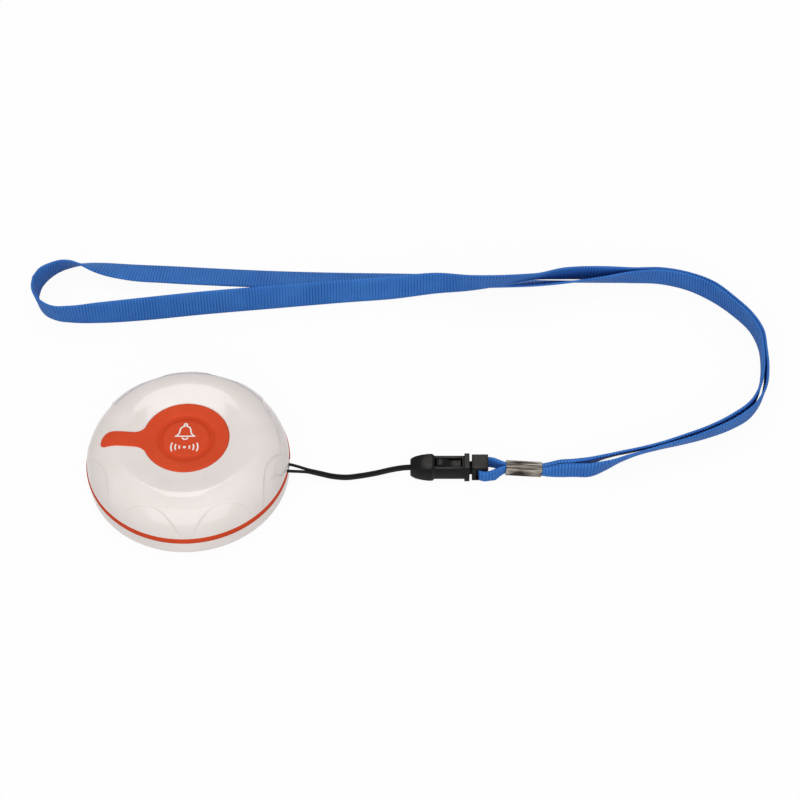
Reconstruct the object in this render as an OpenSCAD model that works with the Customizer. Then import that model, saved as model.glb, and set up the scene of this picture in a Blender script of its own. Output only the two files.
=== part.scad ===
// Caregiver call button: a round sealed radio pendant with a silicone push button,
// a thin cord loop, a small quick-release buckle, a metal crimp and a woven neck strap.
// The pendant stands on its base at the origin, the lanyard leaves it towards +X.

/* [Housing] */
// Diameter of both shells at the seam
shell_d = 59.4; // [58:0.2:62]
// Wall of the upper and the lower shell
shell_wall = 2.2; // [2:0.1:2.4]
// Height of the lower shell, from the table to the seal
lower_h = 5.8; // [5.6:0.1:6.6]
// Radius of the lower edge
base_corner_r = 2.4; // [2:0.1:3.2]
// Thickness of the floor
floor_t = 1.8; // [1.4:0.1:2]
// Radius of the round shoulder of the upper shell
shoulder_r = 10.2; // [9.8:0.1:10.8]
// Depth of the dished top
dish_depth = 1.4; // [1:0.1:1.8]
// Height of the seal between the shells
seal_h = 2.2; // [1.8:0.1:2.6]
// How far the seal stands out of the wall
seal_proud = 0.3; // [0.1:0.05:0.5]
// Number of grip panels round the shoulder
panel_count = 8; // [6:1:8]
// Width of one grip panel at the seal
panel_w = 19.8; // [16:0.2:20.4]
// Height of a grip panel above the seal
panel_h = 8.2; // [7:0.1:8.6]
// Depth of a grip panel in its middle
panel_depth = 0.35; // [0.2:0.05:0.6]

/* [Button] */
// Diameter of the silicone pad
pad_d = 25.2; // [24:0.2:26]
// Thickness of the silicone pad
pad_t = 1.5; // [1.3:0.1:1.6]
// How far the pad stands out of the shell
pad_proud = 0.25; // [0.1:0.05:0.35]
// Width of the pad's tail
tail_w = 5.4; // [4.6:0.1:5.6]
// Offset of the tail from the middle of the pad
tail_y = -0.9; // [-1.6:0.1:0]
// Reach of the tail from the middle of the pendant
tail_reach = 24.8; // [23:0.2:25]
// Radius of the tail's tip
tail_tip_r = 0.9; // [0.6:0.1:1.2]
// Radius where the tail runs into the pad
tail_blend_r = 4; // [2:0.5:5]
// Diameter of the push button in the pad
button_d = 14; // [12:0.2:15]
// Width of the groove round the button
groove_w = 1.2; // [1:0.1:1.4]
// Depth of the groove, down to the web
groove_depth = 0.35; // [0.2:0.05:0.5]
// Travel of the button
button_travel = 0.6; // [0.4:0.1:0.6]
// Thickness of the thin web in the groove
web_t = 0.4; // [0.3:0.05:0.5]

/* [Electronics] */
// Diameter of the coin cell
cell_d = 20; // [19:0.5:20]
// Thickness of the coin cell
cell_h = 3.2; // [3:0.1:3.2]
// Thickness of the circuit board
pcb_t = 1.2; // [1:0.1:1.6]
// Side of the push switch
switch_w = 6; // [5:0.2:6.4]
// Height of the push switch
switch_h = 3.5; // [3:0.1:3.6]
// Diameter of the switch's stem
stem_d = 3.5; // [3:0.1:3.8]
// Diameter of the light pipe under the tail
pipe_d = 2.4; // [2:0.1:2.6]
// Diameter of a housing screw
screw_d = 2; // [1.8:0.1:2.2]

/* [Lanyard] */
// Diameter of the cord
cord_d = 0.9; // [0.7:0.05:1]
// Diameter of the steel pin that holds the cord
pin_d = 1.4; // [1.2:0.1:1.6]
// Width of the socket's body
socket_w = 4.9; // [4.7:0.1:5.2]
// Side of the socket's flange and height of the plug's axis above the table, twice
flange_w = 6.2; // [6:0.1:6.6]
// Side of the plug's square block
block_w = 5.7; // [5.5:0.1:5.9]
// Width of the plug's tongue
tongue_w = 2.9; // [2.6:0.1:3]
// Width of the strap
strap_w = 10; // [9:0.5:10]
// Thickness of the strap
strap_t = 0.7; // [0.5:0.1:0.8]
// Wall of the metal crimp
crimp_wall = 0.4; // [0.3:0.05:0.5]

/* [Fits] */
// Clearance of a seated piece
fit = 0.05; // [0.03:0.01:0.1]
// Clearance of a moving piece
slide_gap = 0.15; // [0.1:0.05:0.2]

/* [Hidden] */
$fn = 96;
body_r = shell_d / 2;
seam_top = lower_h + seal_h;
shoulder_x = body_r - shoulder_r;
crest_z = seam_top + shoulder_r;
dish_r = (shoulder_x * shoulder_x + dish_depth * dish_depth) / (2 * dish_depth);
dish_cz = crest_z - dish_depth + dish_r;
seal_in_r = body_r - shell_wall - 0.2;
lip_r = seal_in_r - 0.1;
panel_top = 66;
panel_turn = 2.2;
panel_r = (panel_w * panel_w / 4 + panel_h * panel_h) / (2 * panel_h);

pad_r = pad_d / 2;
pad_floor = pad_proud - pad_t;
button_r = button_d / 2;
groove_r = button_r + groove_w;
hole_r = groove_r - 0.3;
roof_t = 1.5;
roof_z = dome_z(0, pad_floor) - roof_t;
cap_z = dome_z(0, pad_floor) - 0.25;
web_z = dome_z(groove_r, pad_proud) - groove_depth - web_t;

clip_t = 0.4;
clip_z = floor_t + 0.4;
cell_z = clip_z + clip_t;
pcb_z = cell_z + cell_h + 0.8;
pcb_top = pcb_z + pcb_t;
switch_top = pcb_top + switch_h;
stem_top = switch_top + button_travel + 0.2;
stem_z = stem_top - 1.8;

screw_inset = 8.2;
screw_ring = body_r - screw_inset;
screw_at = screw_ring / sqrt(2);
boss_r = 2.8;
boss_top = crest_z - shell_wall + 0.3;
pcb_edge = 0.6;
pcb_r = screw_ring - boss_r - pcb_edge;
antenna_edge = 0.3;
antenna_w = 0.6;
antenna_t = 0.1;
antenna_gap = 6;
post_r = 1.6;
post_at = (pcb_r - antenna_edge - antenna_w - post_r - fit) / sqrt(2);
crystal_d = 5;
crystal_y = cell_d / 2 - 1;
clip_w = 6;
chip_x = 7.5;
chip_size = [4, 5, 1.6];
screw_head_z = floor_t + 1.4;
screw_tip_z = seam_top + 3.5;
led_r = 1.5;
led_x = led_r + 0.2 - pcb_r;
led_dome_z = 2.4;

pocket_y = -2.4;
pocket_in = body_r - 4.8;
pocket_w = 6.2;
pocket_z = lower_h - 0.5;
pocket_h = seal_h + 1;
pin_x = body_r - 2.1;
pin_end = 1.4;

axis_z = flange_w / 2;
nose_x = 65.4;
body_x = nose_x + 7.2;
flange_x = nose_x + 16;
mouth_x = flange_x + 1.5;
block_x = mouth_x + 0.7;
block_end = block_x + 4.8;
tongue_x = nose_x + 7.6;
latch_x = nose_x + 8.6;
latch_z = axis_z + 0.25;
latch_r = 0.55;
channel_w = tongue_w + 2 * slide_gap;
channel_top = axis_z + 1.35;
channel_low = axis_z - 1.6 - slide_gap;
slot_h = 4.4;
post_w = 2.4;
knot_r = 1.15;
knot_wall = nose_x + 2.2;

crimp_x = 93.6;
crimp_l = 10.7;
crimp_mid = [crimp_x + crimp_l / 2, 0, 2.5];
crimp_pitch = 5.4;
leg_t = 1.25;
leg_h = 0.28 * strap_w;
loop_t = 1;
seam_w = 0.25;
leg_y = leg_t / 2 + 0.05;
crimp_in_w = 2 * (leg_y + leg_t / 2 + fit);
crimp_in_h = leg_h + 2 * fit;

// Cord: the middle line of its two strands, from the buckle back to the pendant
cord_mid = [
    [65.2, 0, 3.1], [63, 0.1, 2.7], [60, 0.1, 1.9], [55.5, -0.4, 0.9], [50.5, -1.2, 0.5],
    [46.5, -1.7, 0.45], [42.5, -1.6, 0.8], [38.5, -1.5, 2.1], [35, -1.8, 3.8], [32.5, -2.2, 5.1]
];

// Strap: x, y, lift above the table, roll (90 stands on edge) and share of the full width
strap_near = [
    [106.2, -0.8, 0.25, 90, 0.36], [109, -0.9, 0, 90, 0.5], [113.5, -1.1, 0, 94, 0.6],
    [118.5, -1.5, 0, 99, 0.74], [124, -0.1, 0, 112, 0.92], [129, 2.3, 0, 119, 1],
    [134, 4.5, 0, 122, 1], [140.5, 6.7, 0, 121, 1], [147.5, 8.8, 0, 118, 1],
    [155, 11.6, 0, 113, 1], [162, 15.1, 0, 108, 1], [168.2, 19.9, 0, 102, 1],
    [172, 26.2, 0, 97, 1], [173.7, 33, 0, 91, 1], [174.3, 40.7, 0, 86, 1], [174.1, 48.3, 0, 84, 1],
    [171.6, 55.5, 0, 79, 1], [166.9, 62, 0, 78, 1], [160.7, 68.3, 0, 80, 1],
    [153.1, 72.8, 0, 75, 1], [145, 75, 0, 73, 1], [135.5, 75.4, 0, 70, 1], [126, 75.5, 0.3, 71, 1],
    [113.5, 74.5, 1.3, 67, 1], [104.5, 70.9, 4.3, 56, 1], [94.5, 66.6, 6.9, 65, 1],
    [84.5, 66.5, 5.6, 75, 1], [73.5, 68.6, 3, 87, 1], [61, 69, 0.6, 92, 1], [44, 67.8, 0, 92, 1],
    [22, 65.4, 0, 93, 1], [0, 62.9, 0, 93, 1], [-18.5, 60.4, 0, 92, 1], [-31, 59, 0, 87, 1],
    [-40, 58.4, 0, 79, 1], [-45, 58.9, 0, 75, 1], [-48.9, 61.3, 0, 77, 1], [-51.4, 65.6, 0, 81, 1]
];
strap_far = [
    [-51.9, 69.7, 0, 87, 1], [-50.6, 73.6, 0, 95, 1], [-47.7, 76.9, 0, 106, 1],
    [-44.6, 79, 0, 114, 1], [-41.2, 80, 0, 123, 1], [-37.5, 80.2, 0, 135, 1],
    [-32.5, 79.6, 0, 149, 1], [-23.5, 78.6, 0, 160, 1], [-11, 77.8, 0, 163, 1],
    [5, 76.7, 0, 163, 1], [24.5, 75.6, 0, 162, 1], [43.5, 75, 0, 160, 1], [62.5, 74.7, 0, 158, 1],
    [78, 74.3, 0, 155, 1], [92.5, 73.4, 0, 148, 1], [105.5, 72.7, 0, 140, 1],
    [116.5, 72.9, 0, 132, 1], [126, 73.4, 0, 123, 1], [135.5, 74.1, 0, 112, 1],
    [145, 74, 0, 106, 1], [152.7, 71.8, 0, 103, 1], [160, 67.5, 0, 99, 1],
    [166.1, 61.3, 0, 101, 1], [170.7, 55, 0, 100, 1], [173.1, 48.2, 0, 95, 1],
    [173.3, 40.7, 0, 93, 1], [172.4, 33.2, 0, 89, 1], [170.5, 26.7, 0, 84, 1],
    [166.8, 20.7, 0, 79, 1], [160.5, 16.2, 0, 72, 1], [153.5, 12.7, 0, 66, 1], [146, 10, 0, 61, 1],
    [139, 7.6, 0, 58, 1], [133, 5.7, 0, 58, 1], [127.5, 4.3, 0, 58, 1], [123, 3.1, 0, 60, 0.92],
    [118.5, 1.9, 0, 68, 0.74], [113.5, 1.1, 0, 80, 0.6], [109, 0.9, 0, 90, 0.5],
    [106.2, 0.8, 0.25, 90, 0.36]
];

// Height of the dished top at a radius, moved out by an offset
function dome_z(r, off) = dish_cz - sqrt((dish_r - off) * (dish_r - off) - r * r);

// Routes and tubes
function unit(v) = v / norm(v);
function along(pts, i) = unit(pts[min(i + 1, len(pts) - 1)] - pts[max(i - 1, 0)]);
function level(t) = unit([-t[1], t[0], 0]);
function flip(list) = [for (i = [len(list) - 1:-1:0]) list[i]];

// One ring of a round tube
function round_ring(p, t, r, k) =
    let (s = level(t), u = cross(t, s))
    [for (j = [0:k - 1]) p + r * (cos(360 * j / k) * s + sin(360 * j / k) * u)];

// One ring of a flat band: roll 90 stands on edge
function band_ring(p, t, roll, w, th) =
    let (s = level(t), u = cross(t, s), a = cos(roll) * s + sin(roll) * u,
        b = -sin(roll) * s + cos(roll) * u)
    [p - a * w / 2 - b * th / 2, p + a * w / 2 - b * th / 2,
     p + a * w / 2 + b * th / 2, p - a * w / 2 + b * th / 2];

// A closed skin over rings of k points
module skin(rings) {
    k = len(rings[0]);
    n = len(rings);
    sides = [for (i = [0:n - 2], j = [0:k - 1], h = [0, 1])
        h == 0 ? [i * k + j, (i + 1) * k + j, (i + 1) * k + (j + 1) % k]
        : [i * k + j, (i + 1) * k + (j + 1) % k, i * k + (j + 1) % k]];
    first = [for (j = [0:k - 1]) j];
    last = [for (j = [k - 1:-1:0]) (n - 1) * k + j];
    polyhedron([for (r = rings) each r], concat([first], sides, [last]), convexity = 10);
}

// Half section of the top, moved out by an offset
module dome_half(off) {
    difference() {
        union() {
            translate([0, seam_top])
                square([shoulder_x, shoulder_r + off]);
            intersection() {
                translate([shoulder_x, seam_top])
                    circle(r = shoulder_r + off);
                translate([0, seam_top])
                    square([2 * body_r, 2 * shoulder_r]);
            }
        }
        translate([0, dish_cz])
            circle(r = dish_r - off, $fn = 360);
    }
}

// Arc that leads the edge of the tail into the pad, and a last point inside the pad
function tail_blend(r, blend, edge) =
    let (y = edge + blend, x = -sqrt((r + blend) * (r + blend) - y * y), swing = atan2(-x, y))
    concat([for (i = [0:5]) [x + blend * sin(swing * i / 6), y - blend * cos(swing * i / 6)]],
        [[-(r - 0.5) * sin(swing), (r - 0.5) * cos(swing)]]);

// Points on an arc
function arc(mid, r, from, to, steps) =
    [for (i = [0:steps]) let (a = from + (to - from) * i / steps) mid + r * [cos(a), sin(a)]];

// Upright shape of the pad: a disc with a tail, whose end sweeps round to a tip on one side
module pad_prism(grow) {
    r = pad_r + grow;
    low_y = tail_y - tail_w / 2;
    sweep_r = tail_w - tail_tip_r;
    tip_in = sqrt(sweep_r * sweep_r - tail_tip_r * tail_tip_r);
    tip = [tail_tip_r - tail_reach, low_y + tail_tip_r];
    sweep = [tip[0] + tip_in, low_y];
    meet = 180 - asin(tail_tip_r / sweep_r);
    top = tail_blend(r, tail_blend_r - grow, tail_y + tail_w / 2 + grow);
    low = tail_blend(r, tail_blend_r - grow, grow - low_y);
    translate([0, 0, seam_top + 4]) union() {
        cylinder(r = r, h = 2 * shoulder_r);
        linear_extrude(2 * shoulder_r)
            polygon(concat(top, [for (p = flip(low)) [p[0], -p[1]]],
                arc(tip, tail_tip_r + grow, 270, meet, 4),
                arc(sweep, tail_w + grow, meet - (meet - 90) / 7, 90, 6)));
    }
}

// Four places at the corners of a square
module at_corners(half) {
    for (x = [-1, 1], y = [-1, 1])
        translate([x * half, y * half, 0])
            children();
}

// Room for the cord at the seam
module cord_pocket() {
    translate([pocket_in, pocket_y - pocket_w / 2, pocket_z])
        cube([10, pocket_w, pocket_h]);
}

// Wall round the cord pocket
module pocket_wall(z, h) {
    translate([pocket_in - 1, pocket_y - pocket_w / 2 - 1.1, z])
        cube([4.6, pocket_w + 2.2, h]);
}

// Shapes cut out of the shoulder for the grip panels
module grip_panels() {
    half = panel_top / 2;
    chord = shoulder_r * sin(half);
    rise = shoulder_r * (1 - cos(half)) - panel_depth;
    flat_r = (chord * chord + rise * rise) / (2 * rise);
    mid = shoulder_r * cos(half) + rise - flat_r;
    for (i = [0:panel_count - 1])
        rotate((i + 0.5) * 360 / panel_count + panel_turn)
            intersection() {
                translate([body_r / 2, 0, seam_top + panel_h - panel_r])
                    rotate([0, 90, 0])
                        cylinder(r = panel_r, h = body_r);
                rotate_extrude() difference() {
                    translate([body_r / 2, seam_top - 1])
                        square([body_r, shoulder_r + 3]);
                    translate([shoulder_x + mid * cos(half), seam_top + mid * sin(half)])
                        circle(r = flat_r, $fn = 240);
                }
            }
}

// Lower shell with screw posts, board posts and half of the cord pocket
module lower_shell() {
    color("white") difference() {
        union() {
            rotate_extrude() difference() {
                union() {
                    square([body_r - base_corner_r, lower_h]);
                    translate([0, base_corner_r])
                        square([body_r, lower_h - base_corner_r]);
                    translate([body_r - base_corner_r, base_corner_r])
                        circle(r = base_corner_r);
                }
                translate([0, lower_h])
                    square([body_r, base_corner_r]);
                translate([0, floor_t])
                    square([body_r - shell_wall - 1.4, lower_h]);
                translate([0, floor_t + 1.4])
                    square([body_r - shell_wall, lower_h]);
                translate([body_r - shell_wall - 1.4, floor_t + 1.4])
                    circle(r = 1.4);
            }
            difference() {
                translate([0, 0, lower_h - 1.2])
                    cylinder(r = lip_r, h = seal_h + 2.6);
                translate([0, 0, lower_h - 2])
                    cylinder(r = lip_r - 1.3, h = seal_h + 5);
                translate([0, 0, lower_h - 3])
                    cylinder(r1 = lip_r + 1, r2 = lip_r - 1.3, h = 3);
                translate([10, pocket_y - pocket_w / 2 - 1.4, lower_h])
                    cube([30, pocket_w + 2.8, 10]);
            }
            difference() {
                translate([0, 0, lower_h - 1.2])
                    cylinder(r = body_r - shell_wall + 0.5, h = 1.2);
                translate([0, 0, lower_h - 2])
                    cylinder(r = lip_r - 1.3, h = 5);
            }
            at_corners(screw_at)
                translate([0, 0, floor_t / 2])
                    cylinder(r = boss_r, h = seam_top - floor_t / 2);
            at_corners(post_at)
                translate([0, 0, floor_t / 2])
                    cylinder(r = post_r, h = pcb_z - floor_t / 2);
            pocket_wall(floor_t - 0.3, lower_h - floor_t + 0.3);
        }
        at_corners(screw_at) {
            translate([0, 0, -1])
                cylinder(r = screw_d + 0.2, h = screw_head_z + 1);
            cylinder(r = screw_d / 2 + 0.15, h = 20);
        }
        cord_pocket();
        translate([pin_x, pocket_y, pocket_z - pin_end - fit])
            cylinder(d = pin_d + 2 * fit, h = 5);
    }
}

// Upper shell with dished top, grip panels and the seat of the pad
module upper_shell() {
    color("white") difference() {
        union() {
            rotate_extrude() difference() {
                dome_half(0);
                translate([0, seam_top - 1])
                    square([shoulder_x, roof_z - seam_top + 1]);
                translate([shoulder_x, seam_top])
                    circle(r = shoulder_r - shell_wall);
            }
            at_corners(screw_at)
                translate([0, 0, seam_top])
                    cylinder(r = boss_r, h = boss_top - seam_top);
            at_corners(post_at)
                translate([0, 0, pcb_top])
                    cylinder(r = post_r - 0.2, h = boss_top - pcb_top);
            pocket_wall(seam_top, 3.2);
        }
        intersection() {
            pad_prism(fit);
            rotate_extrude() difference() {
                translate([0, seam_top + 3])
                    square([body_r, 2 * shoulder_r]);
                dome_half(pad_floor);
            }
        }
        translate([0, 0, seam_top])
            cylinder(r = hole_r, h = 2 * shoulder_r);
        grip_panels();
        at_corners(screw_at)
            translate([0, 0, seam_top - 1])
                cylinder(r = screw_d / 2 + fit, h = screw_tip_z - seam_top + 1.5);
        cord_pocket();
        translate([pin_x, pocket_y, pocket_z])
            cylinder(d = pin_d + 2 * fit, h = pocket_h + pin_end + fit);
        translate([led_x, tail_y, seam_top])
            cylinder(d = pipe_d + 2 * fit, h = 2 * shoulder_r);
    }
}

// Soft seal between the shells, led round the cord pocket
module seal_band() {
    bead = (seal_h * seal_h / 4 + seal_proud * seal_proud) / (2 * seal_proud);
    color("orangered") difference() {
        union() {
            rotate_extrude() intersection() {
                translate([seal_in_r, lower_h])
                    square([10, seal_h]);
                union() {
                    square([body_r, 20]);
                    translate([body_r + seal_proud - bead, lower_h + seal_h / 2])
                        circle(r = bead);
                }
            }
            pocket_wall(lower_h, seal_h);
        }
        cord_pocket();
    }
}

// Four screws from below
module housing_screws() {
    color("silver") at_corners(screw_at) {
        difference() {
            translate([0, 0, screw_head_z - 1.3])
                cylinder(r = screw_d - 0.1, h = 1.3);
            for (a = [0, 90])
                rotate(a)
                    translate([-1.2, -0.25, screw_head_z - 2])
                        cube([2.4, 0.5, 1.3]);
        }
        translate([0, 0, screw_head_z])
            cylinder(d = screw_d, h = screw_tip_z - screw_head_z);
    }
}

// Silicone pad with its tail over the shoulder
module button_pad() {
    color("orangered") intersection() {
        pad_prism(0);
        rotate_extrude() difference() {
            dome_half(pad_proud);
            dome_half(pad_floor);
            square([groove_r, 4 * shoulder_r]);
        }
    }
}

// Thin web in the groove that lets the button move
module flex_web() {
    color("red") rotate_extrude()
        translate([button_r + fit, web_z])
            square([groove_w - 2 * fit, web_t]);
}

// Round push button, dished like the pad
module call_button() {
    color("orangered") rotate_extrude() intersection() {
        dome_half(pad_proud);
        translate([0, cap_z])
            square([button_r, shoulder_r]);
    }
}

// Stiff plunger under the button
module button_plunger() {
    color("whitesmoke") {
        translate([0, 0, cap_z - 1])
            cylinder(r = button_r - 1.8, h = 1);
        translate([0, 0, stem_top])
            cylinder(r = 2.2, h = cap_z - stem_top - 0.5);
    }
}

// Circuit board on four posts
module circuit_board() {
    color("green")
        translate([0, 0, pcb_z])
            cylinder(r = pcb_r, h = pcb_t);
}

// Body of the push switch with four leads
module push_switch() {
    color("dimgray") {
        difference() {
            translate([-switch_w / 2, -switch_w / 2, pcb_top])
                cube([switch_w, switch_w, switch_h]);
            translate([0, 0, stem_z - button_travel - 0.1])
                cylinder(d = stem_d + slide_gap, h = 5);
        }
        for (x = [-1, 1], y = [-1, 1])
            translate([x * (switch_w / 2 + 0.5) - 0.6, y * switch_w / 3 - 0.35, pcb_top])
                cube([1.2, 0.7, 0.3]);
    }
}

// Stem of the push switch
module switch_stem() {
    color("black")
        translate([0, 0, stem_z])
            cylinder(d = stem_d, h = stem_top - stem_z);
}

// Radio chip
module radio_chip() {
    color("black")
        translate([chip_x, -chip_size[1] / 2, pcb_top])
            cube(chip_size);
}

// Metal can of the crystal
module crystal_can() {
    color("silver")
        translate([0, crystal_y, pcb_top])
            cylinder(d = crystal_d, h = 0.6 * crystal_d);
}

// Copper loop on the edge of the board, open at the lamp
module loop_antenna() {
    color("peru") translate([0, 0, pcb_top]) difference() {
        cylinder(r = pcb_r - antenna_edge, h = antenna_t);
        translate([0, 0, -1])
            cylinder(r = pcb_r - antenna_edge - antenna_w, h = 2);
        translate([-2 * pcb_r, tail_y - antenna_gap / 2, -1])
            cube([2 * pcb_r, antenna_gap, 2]);
    }
}

// Lamp on the board
module status_led() {
    color("lightpink") translate([led_x, tail_y, pcb_top]) {
        cylinder(r = led_r, h = led_dome_z);
        intersection() {
            translate([0, 0, led_dome_z])
                sphere(r = led_r);
            cylinder(r = 2 * led_r, h = 6);
        }
    }
}

// Clear pipe from the lamp to the tail
module light_pipe() {
    pipe_top = dome_z(-led_x, pad_floor) - 0.3;
    pipe_low = pcb_top + led_dome_z + led_r + 0.2;
    color("lightblue")
        translate([led_x, tail_y, pipe_low])
            cylinder(d = pipe_d, h = pipe_top - pipe_low);
}

// Coin cell, negative face up
module coin_cell() {
    color("gainsboro") translate([0, 0, cell_z]) {
        cylinder(d = cell_d, h = cell_h - 0.3);
        cylinder(d = cell_d - 2.6, h = cell_h);
    }
}

// Sprung strip that holds the cell under the board
module cell_clip() {
    half = cell_d / 2 + 0.5;
    color("lightgray") {
        translate([-half - clip_t, -clip_w / 2, clip_z])
            cube([2 * half + 2 * clip_t, clip_w, clip_t]);
        for (s = [-1, 1])
            translate([s * (half + clip_t / 2) - clip_t / 2, -clip_w / 2, clip_z])
                cube([clip_t, clip_w, pcb_z - clip_z]);
    }
}

// Dished contact between the cell and the board
module cell_contact() {
    low = cell_z + cell_h;
    color("goldenrod") rotate_extrude()
        polygon([[0, low], [1.2, low], [3.2, pcb_z], [2.6, pcb_z], [1, low + 0.3], [0, low + 0.3]]);
}

// Steel pin across the cord pocket
module cord_pin() {
    color("silver")
        translate([pin_x, pocket_y, pocket_z - pin_end])
            cylinder(d = pin_d, h = pocket_h + 2 * pin_end);
}

// Cord from the buckle round the pin and back
module cord_loop() {
    apart = cord_d / 2 + 0.05;
    turn_r = (pin_d + cord_d) / 2 + 0.1;
    n = len(cord_mid);
    one = [for (i = [0:n - 1]) cord_mid[i]
        + (apart + (turn_r - apart) * max(0, i - n + 2) / 2) * [0, 1, 0]];
    two = [for (i = [0:n - 1]) cord_mid[i]
        - (apart + (turn_r - apart) * max(0, i - n + 2) / 2) * [0, 1, 0]];
    bend = [for (a = [90:22.5:270]) [pin_x + turn_r * cos(a), pocket_y + turn_r * sin(a), 6.4]];
    leave = [for (s = [1, -1]) [pin_x + 1.9, pocket_y + s * turn_r, 6.1]];
    inside = [for (s = [1, -1]) [knot_wall - 0.1, s * apart, axis_z]];
    route = concat([inside[0], [nose_x + 0.8, apart, axis_z]], one, [leave[0]], bend, [leave[1]],
        flip(two), [[nose_x + 0.8, -apart, axis_z], inside[1]]);
    color("black")
        skin([for (i = [0:len(route) - 1])
            round_ring(route[i], along(route, i), cord_d / 2, 8)]);
}

// Knot that holds the cord's ends in the nose of the buckle
module cord_knot() {
    color("black")
        translate([knot_wall + knot_r + 0.02, 0, axis_z])
            sphere(r = knot_r);
}

// Square bar along X with rounded long edges
module round_bar(w, r, l) {
    rotate([0, 90, 0])
        linear_extrude(l) {
            square([w - 2 * r, w], center = true);
            square([w, w - 2 * r], center = true);
            for (y = [-1, 1], z = [-1, 1])
                translate([z * (w / 2 - r), y * (w / 2 - r)])
                    circle(r = r);
        }
}

// Outline of the socket, the same from above and from the side
module socket_outline() {
    half = socket_w / 2;
    nose = [[0, half - 0.75], [0.5, half - 0.45], [1.5, half - 0.1], [3.2, half + 0.2],
        [5.2, half + 0.4], [6.5, half + 0.4], [7.2, half], [16.5, half]];
    polygon(concat(nose, [for (p = flip(nose)) [p[0], -p[1]]]));
}

// Socket of the quick-release buckle
module buckle_socket() {
    color("black") translate([nose_x, 0, axis_z]) difference() {
        union() {
            intersection() {
                translate([0, 0, -10])
                    linear_extrude(20)
                        socket_outline();
                translate([0, 10, 0])
                    rotate([90, 0, 0])
                        linear_extrude(20)
                            socket_outline();
            }
            translate([flange_x - nose_x, 0, 0])
                round_bar(flange_w, 0.5, mouth_x - flange_x);
        }
        translate([body_x - nose_x, -channel_w / 2, channel_low - axis_z])
            cube([20, channel_w, channel_top - channel_low]);
        translate([body_x - nose_x, -channel_w / 2, 0])
            cube([flange_x - body_x - 0.6, channel_w, 10]);
        translate([knot_wall - nose_x, 0, 0])
            rotate([0, 90, 0])
                cylinder(r = knot_r + 0.15, h = 8);
        for (s = [-1, 1])
            translate([-1, s * (cord_d / 2 + 0.05), 0])
                rotate([0, 90, 0])
                    cylinder(r = cord_d / 2 + 0.1, h = 5);
        translate([-1, -cord_d / 2, -cord_d / 2 - 0.1])
            cube([5, cord_d, cord_d + 0.2]);
    }
}

// Plug of the buckle: tongue, square block and strap post
module buckle_plug() {
    color("black") translate([0, 0, axis_z]) {
        difference() {
            union() {
                translate([tongue_x, -tongue_w / 2, -1.6])
                    cube([block_x - tongue_x + 0.5, tongue_w, 1.2]);
                translate([tongue_x, -tongue_w / 2, -1])
                    cube([2, tongue_w, latch_z - axis_z + 1]);
                translate([flange_x - 0.4, -tongue_w / 2, -1.6])
                    cube([block_x - flange_x + 0.9, tongue_w, 2.8]);
            }
            translate([latch_x, 10, latch_z - axis_z])
                rotate([90, 0, 0])
                    cylinder(r = latch_r + fit, h = 20);
        }
        difference() {
            translate([block_x, 0, 0])
                round_bar(block_w, 0.4, block_end - block_x);
            translate([block_x + 1.2, -10, -slot_h / 2])
                cube([2.1, 20, slot_h]);
            for (s = [-1, 1])
                translate([block_x + 3.2, s * (post_w / 2 + 5) - 5, -slot_h / 2])
                    cube([5, 10, slot_h]);
        }
    }
}

// Latch arm, hinged at the tip of the tongue
module latch_arm() {
    w = tongue_w - 2 * slide_gap;
    color("dimgray") translate([latch_x, w / 2, latch_z]) rotate([90, 0, 0]) linear_extrude(w) {
        circle(r = latch_r);
        polygon([[-0.4, 0.2], [0.5, 0.1], [0.9, 0.5], [6.3, 0.65], [6.3, 1.85], [5.2, 1.65],
            [4, 1.7], [2.6, 1.9], [1.4, 2.3], [0.6, 2.4], [0, 2.2]]);
    }
}

// Loop of strap round the plug's post
module anchor_loop() {
    route = [[99, leg_y, 2.5], [crimp_x - 0.2, leg_y, 3], [crimp_x - 1.6, 1.05, 3.05], [90.1, 1.75, 3.1],
        [88.4, 2.05, 3.1], [87, 1.97, 3.1], [86.2, 1.5, 3.1], [85.85, 0.8, 3.1], [85.8, 0, 3.1],
        [85.85, -0.9, 3.1], [85.9, -1.8, 3.1], [86, -2.5, 3.1], [86.15, -3, 3.1], [86.7, -3.3, 3.1],
        [87.6, -3.35, 3.05], [88.9, -3.1, 3], [90.4, -2.4, 2.7], [crimp_x - 1.6, -1.35, 2.85],
        [crimp_x - 0.2, -leg_y, 3], [99, -leg_y, 2.5]];
    tall = [for (p = route) p[0] > crimp_x - 0.3 ? leg_h
        : (p[0] > crimp_x - 2 ? leg_h + 0.7 : (p[2] < axis_z - 0.1 ? slot_h + 0.2 : slot_h - 0.4))];
    flat = [for (p = route) [p[0], p[1], 0]];
    color("royalblue")
        skin([for (i = [0:len(route) - 1])
            band_ring(route[i], along(flat, i), 90, tall[i], loop_t)]);
}

// Metal crimp round the strap
module strap_crimp() {
    color("silver") translate(crimp_mid) rotate([0, crimp_pitch, 0]) difference() {
        rotate([0, 90, 0])
            linear_extrude(crimp_l, center = true) {
                square([crimp_in_h + 2 * crimp_wall - 1.2, crimp_in_w + 2 * crimp_wall], center = true);
                square([crimp_in_h + 2 * crimp_wall, crimp_in_w + 2 * crimp_wall - 1.2], center = true);
                for (y = [-1, 1], z = [-1, 1])
                    translate([z * (crimp_in_h / 2 + crimp_wall - 0.6),
                        y * (crimp_in_w / 2 + crimp_wall - 0.6)])
                        circle(r = 0.6);
            }
        cube([20, crimp_in_w, crimp_in_h], center = true);
        translate([0, 0, crimp_in_h / 2])
            cube([20, seam_w, 4 * crimp_wall], center = true);
    }
}

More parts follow.
